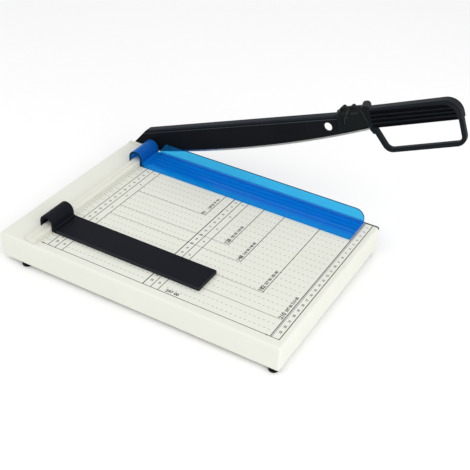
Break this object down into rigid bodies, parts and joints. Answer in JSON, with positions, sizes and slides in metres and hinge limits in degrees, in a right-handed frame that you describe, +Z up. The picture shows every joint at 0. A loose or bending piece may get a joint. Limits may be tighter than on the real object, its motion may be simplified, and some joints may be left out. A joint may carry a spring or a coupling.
{
  "type": "guillotine paper cutter",
  "caption": "Desk paper cutter with a hinged curved blade and looped handle over a folded steel bed, a sliding paper stop and a clear blue blade guard.",
  "frame": {"origin": "on the desk under the middle of the whole cutter, with its arm raised as at rest", "axes": "+X along the cut towards the handle, +Y from the front edge towards the blade, +Z up"},
  "size_m": [0.447, 0.269, 0.2219],
  "materials": {
    "cream_paint": "satin baked enamel",
    "cream_plastic": "satin extruded plastic",
    "blade_black": "black enamel with a ground steel edge",
    "collar_plastic": "fine moulded texture",
    "grip_plastic": "fine moulded texture",
    "stop_plastic": "satin moulded plastic",
    "clear_blue": "clear tinted, polished",
    "black_rubber": "matt",
    "zinc_steel": "bright zinc plate",
    "spring_steel": "drawn wire"
  },
  "bodies": {
    "base": {"base_tray": "cream_paint", "foot_front_left": "black_rubber", "foot_front_right": "black_rubber", "foot_rear_left": "black_rubber", "foot_rear_right": "black_rubber", "counter_blade": "blade_black", "pivot_bracket": "cream_paint", "guide_rail": "cream_plastic", "counter_blade_screw_1": "zinc_steel", "counter_blade_screw_2": "zinc_steel", "counter_blade_screw_3": "zinc_steel", "counter_blade_screw_4": "zinc_steel", "counter_blade_screw_5": "zinc_steel", "bracket_screw_1": "zinc_steel", "bracket_screw_2": "zinc_steel", "rail_screw_1": "zinc_steel", "rail_screw_2": "zinc_steel", "rail_screw_3": "zinc_steel", "pivot_bolt": "zinc_steel", "pivot_washer": "zinc_steel", "spring_seat_washer": "zinc_steel", "pivot_spring": "spring_steel", "spring_end_washer": "zinc_steel", "pivot_nut": "zinc_steel"},
    "arm": {"cutting_blade": "blade_black", "handle_collar": "collar_plastic", "handle_grip": "grip_plastic", "handle_screw_1": "zinc_steel", "handle_screw_2": "zinc_steel"},
    "stop": {"paper_stop": "stop_plastic"},
    "guard": {"safety_guard": "clear_blue"}
  },
  "joints": [
    {"name": "arm_swing", "type": "hinge", "parent": "base", "child": "arm", "pos_m": [-0.20223, 0.1175, 0.0235], "axis": [0, -1, 0], "range_deg": [-20.8, 45]},
    {"name": "stop_slide", "type": "slide", "parent": "base", "child": "stop", "axis": [0, 1, 0], "range_m": [-0.028, 0.136]},
    {"name": "guard_tilt", "type": "hinge", "parent": "base", "child": "guard", "pos_m": [-0.17994, 0.09, 0.04075], "axis": [0, -1, 0], "range_deg": [0, 5]}
  ]
}
